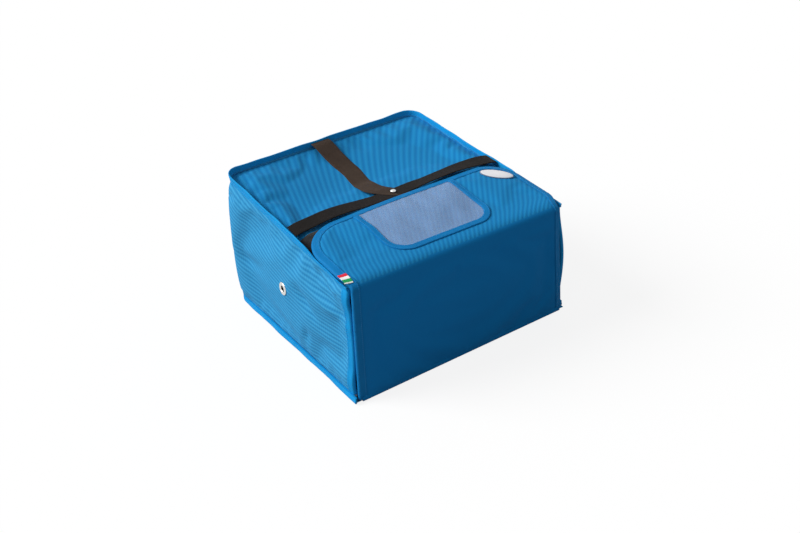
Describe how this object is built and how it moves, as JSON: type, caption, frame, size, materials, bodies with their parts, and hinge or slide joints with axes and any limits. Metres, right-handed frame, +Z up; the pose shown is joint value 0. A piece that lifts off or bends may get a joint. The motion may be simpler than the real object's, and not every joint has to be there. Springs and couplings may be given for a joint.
{
  "type": "pizza delivery bag",
  "caption": "Soft insulated bag for flat boxes: padded walls, one flap over the mouth and top held by a hook-and-loop strip, a clear pocket and webbing carry straps.",
  "frame": {"origin": "centre of the footprint, on the surface the bag stands on", "axes": "+Z up, the mouth and its flap face -Y, +X to the right seen from the front"},
  "size_m": [0.4042, 0.364, 0.2365],
  "materials": {
    "cover_fabric": "ribbed woven polyester, mid blue",
    "flap_fabric": "ribbed woven polyester, mid blue, in shade",
    "binding_tape": "folded woven tape, bright blue",
    "foam": "white closed-cell foam sheet",
    "lining_film": "grey foil-faced film",
    "base_board": "dark flat board",
    "black_webbing": "woven webbing, black",
    "grey_webbing": "woven webbing, warm dark grey",
    "loop_fastener": "brushed pile, black",
    "hook_fastener": "fine hooks, black",
    "window_film": "clear soft vinyl",
    "badge": "domed, off-white",
    "tag_cloth": "woven stripes of red, white and green",
    "nickel_plate": "nickel-plated, bright"
  },
  "bodies": {
    "bag": {"bottom_cover": "cover_fabric", "base_board": "base_board", "bottom_foam": "foam", "bottom_lining": "lining_film", "wall_cover": "cover_fabric", "left_foam": "foam", "back_foam": "foam", "right_foam": "foam", "wall_lining": "lining_film", "top_cover": "cover_fabric", "top_foam": "foam", "top_lining": "lining_film", "rim_binding": "binding_tape", "bottom_binding": "binding_tape", "mouth_binding_left": "binding_tape", "mouth_binding_right": "binding_tape", "mouth_binding_top": "binding_tape", "loop_strip": "loop_fastener", "eyelet_left": "nickel_plate", "eyelet_washer_left": "nickel_plate", "eyelet_right": "nickel_plate", "eyelet_washer_right": "nickel_plate", "carry_strap_left": "black_webbing", "carry_strap_right": "black_webbing", "back_strap": "grey_webbing"},
    "front_flap": {"flap_cover": "flap_fabric", "flap_foam": "foam", "flap_lining": "lining_film", "flap_binding_left": "binding_tape", "flap_binding_right": "binding_tape"},
    "lid_flap": {"lid_cover": "cover_fabric", "lid_foam": "foam", "lid_lining": "lining_film", "lid_binding": "binding_tape", "hook_strip": "hook_fastener", "window_sheet": "window_film", "window_binding": "binding_tape", "badge": "badge", "stripe_tag": "tag_cloth"},
    "handle": {"carry_strap_grip": "black_webbing", "back_strap_end": "grey_webbing", "rivet_cap": "nickel_plate", "rivet_plate": "nickel_plate"}
  },
  "joints": [
    {"name": "front_flap_hinge", "type": "hinge", "parent": "bag", "child": "front_flap", "pos_m": [0, -0.1809, 0.0016], "axis": [1, 0, 0], "range_deg": [0, 90]},
    {"name": "lid_flap_crease", "type": "hinge", "parent": "front_flap", "child": "lid_flap", "pos_m": [0, -0.17877, 0.211], "axis": [1, 0, 0], "range_deg": [0, 80]},
    {"name": "handle_lift", "type": "slide", "parent": "bag", "child": "handle", "axis": [0, 0, 1], "range_m": [0, 0.025], "deforming": ["carry_strap_left", "carry_strap_right", "back_strap"]}
  ]
}
